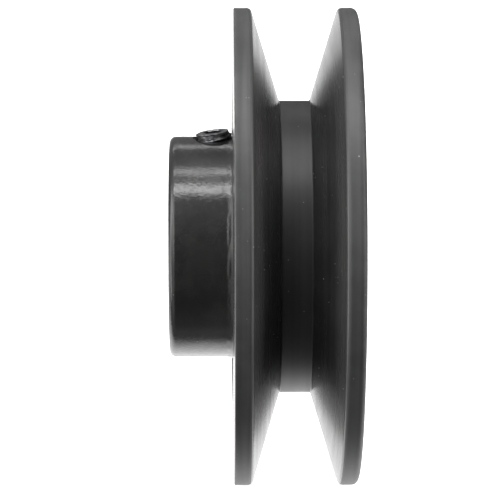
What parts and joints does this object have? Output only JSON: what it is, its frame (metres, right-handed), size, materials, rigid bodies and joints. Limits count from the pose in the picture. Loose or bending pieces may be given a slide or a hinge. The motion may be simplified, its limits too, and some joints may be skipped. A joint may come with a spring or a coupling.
{
  "type": "v-belt pulley",
  "caption": "Cast iron V-belt pulley with one groove, an offset hub, a keyed bore, a drive key and socket set screws.",
  "frame": {"origin": "on the bore's axis, in the plane through the middle of the V groove", "axes": "+Y along the bore, away from the hub; +Z from the bore through the keyway and the first set screw"},
  "size_m": [0.085, 0.0334, 0.085],
  "materials": {
    "iron": "dark turned rim, gloss black painted hub and web",
    "black_steel": "black oxide",
    "key_steel": "bright cold drawn"
  },
  "bodies": {
    "pulley": {"pulley_casting": "iron"},
    "key_screw": {"key_set_screw": "black_steel"},
    "side_screw": {"side_set_screw": "black_steel"},
    "key": {"drive_key": "key_steel"}
  },
  "joints": [
    {"name": "key_screw_travel", "type": "slide", "parent": "pulley", "child": "key_screw", "axis": [0, -0.1219, 0.9925], "range_m": [-0.0009, 0.0083]},
    {"name": "side_screw_travel", "type": "slide", "parent": "pulley", "child": "side_screw", "axis": [-0.9925, -0.1219, 0], "range_m": [-0.001, 0.0103]},
    {"name": "key_slide", "type": "slide", "parent": "pulley", "child": "key", "axis": [0, -1, 0], "range_m": [-0.026, 0.026]}
  ]
}
